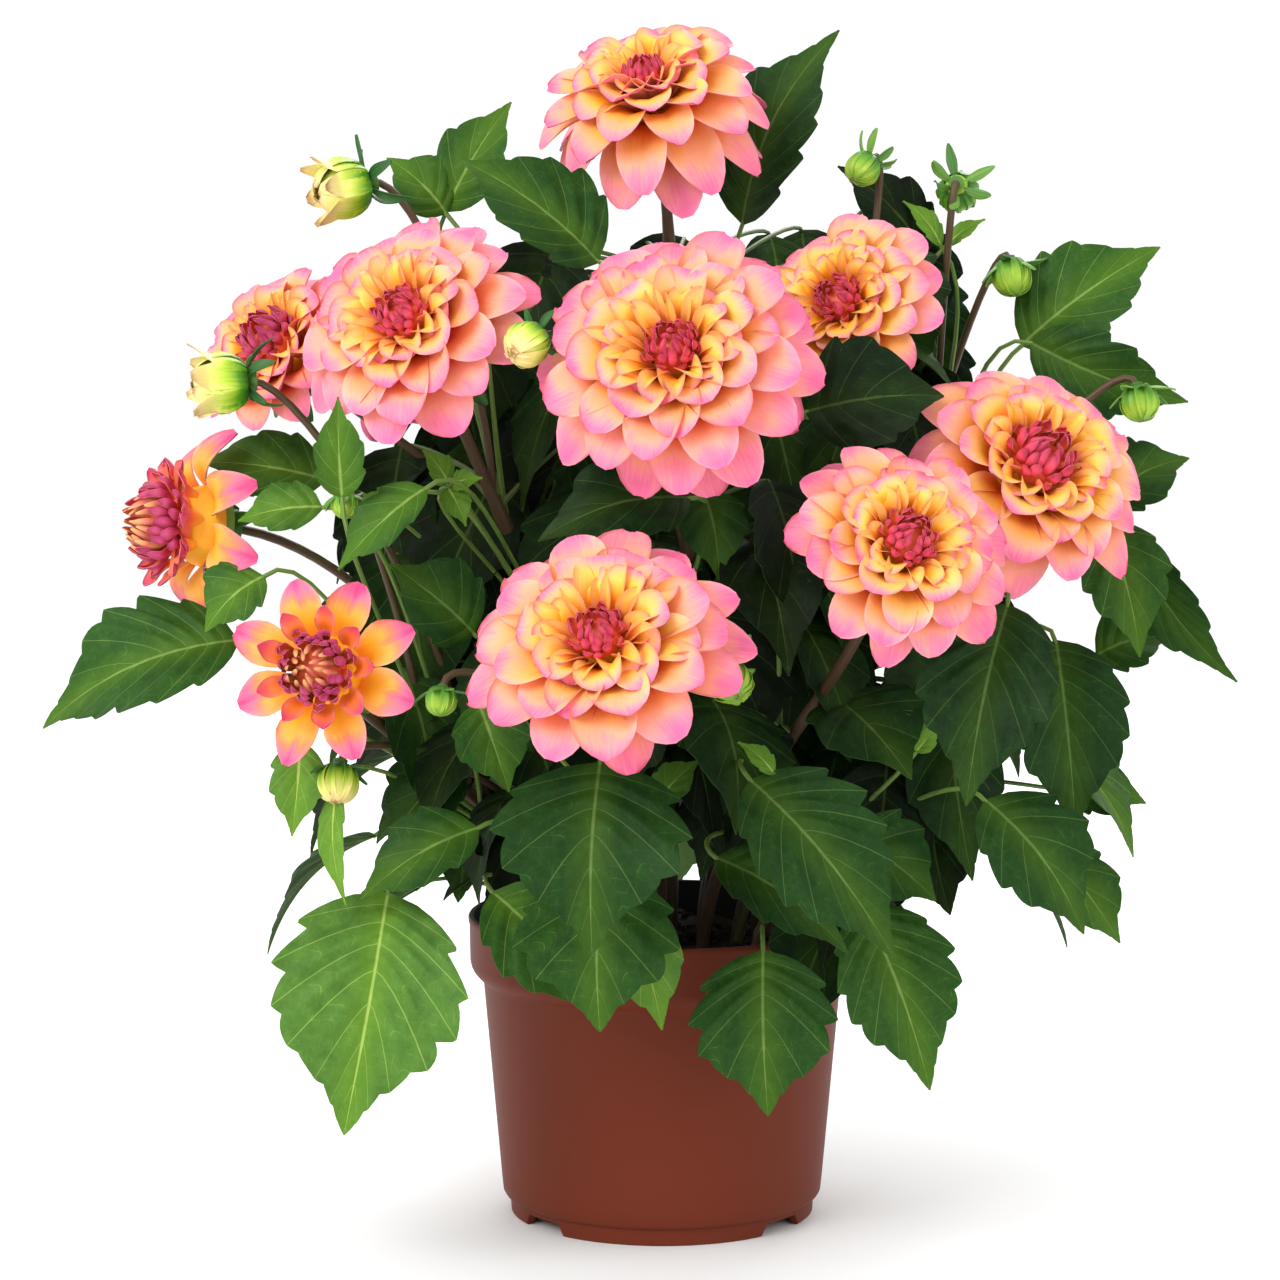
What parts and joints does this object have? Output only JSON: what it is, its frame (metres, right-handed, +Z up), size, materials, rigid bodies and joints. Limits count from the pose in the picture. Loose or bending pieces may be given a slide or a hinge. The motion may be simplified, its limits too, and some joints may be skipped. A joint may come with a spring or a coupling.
{
  "type": "potted dahlia",
  "caption": "Bushy garden dahlia with double yellow and pink blooms, buds and toothed green leaves, growing in a round brown plastic nursery pot.",
  "frame": {"origin": "centre of the pot's underside, in the plane that the pot stands on", "axes": "+Z up along the pot's axis, -Y towards the front that the picture shows, +X to the right seen from the front"},
  "size_m": [0.5029, 0.4128, 0.5161],
  "materials": {
    "pot": "satin moulded polypropylene, brown outside and dark grey inside",
    "soil": "damp crumbly potting compost of peat and bark",
    "foliage": "satin living leaf and stem, dark above with paler veins",
    "petals": "soft living petal, golden yellow at the root and pink at the tip",
    "hearts": "tight crimson florets with orange rims",
    "buds": "smooth yellow-green bud scales"
  },
  "bodies": {
    "root": {"pot": "pot", "soil": "soil", "stem_top": "foliage", "stem_left": "foliage", "stem_centre": "foliage", "stem_rear_right": "foliage", "stem_right": "foliage", "stem_mid_right": "foliage", "stem_low": "foliage", "stem_low_left": "foliage", "stem_back_left": "foliage", "stem_back_right": "foliage", "stem_back": "foliage", "stem_leafy_left": "foliage", "stem_leafy_right": "foliage", "stem_leafy_side": "foliage", "bloom_top": "petals", "bloom_left": "petals", "bloom_centre": "petals", "bloom_rear_right": "petals", "bloom_right": "petals", "bloom_mid_right": "petals", "bloom_low": "petals", "bloom_low_left": "petals", "bloom_far_left": "petals", "bloom_rear_left": "petals", "bloom_back_left": "petals", "bloom_back_right": "petals", "bloom_back": "petals", "heart_top": "hearts", "heart_left": "hearts", "heart_centre": "hearts", "heart_rear_right": "hearts", "heart_right": "hearts", "heart_mid_right": "hearts", "heart_low": "hearts", "heart_low_left": "hearts", "heart_far_left": "hearts", "heart_rear_left": "hearts", "heart_back_left": "hearts", "heart_back_right": "hearts", "heart_back": "hearts", "bud_upper_left": "buds", "bud_left": "buds", "bud_heart": "buds", "bud_low_left": "buds"}
  },
  "joints": []
}
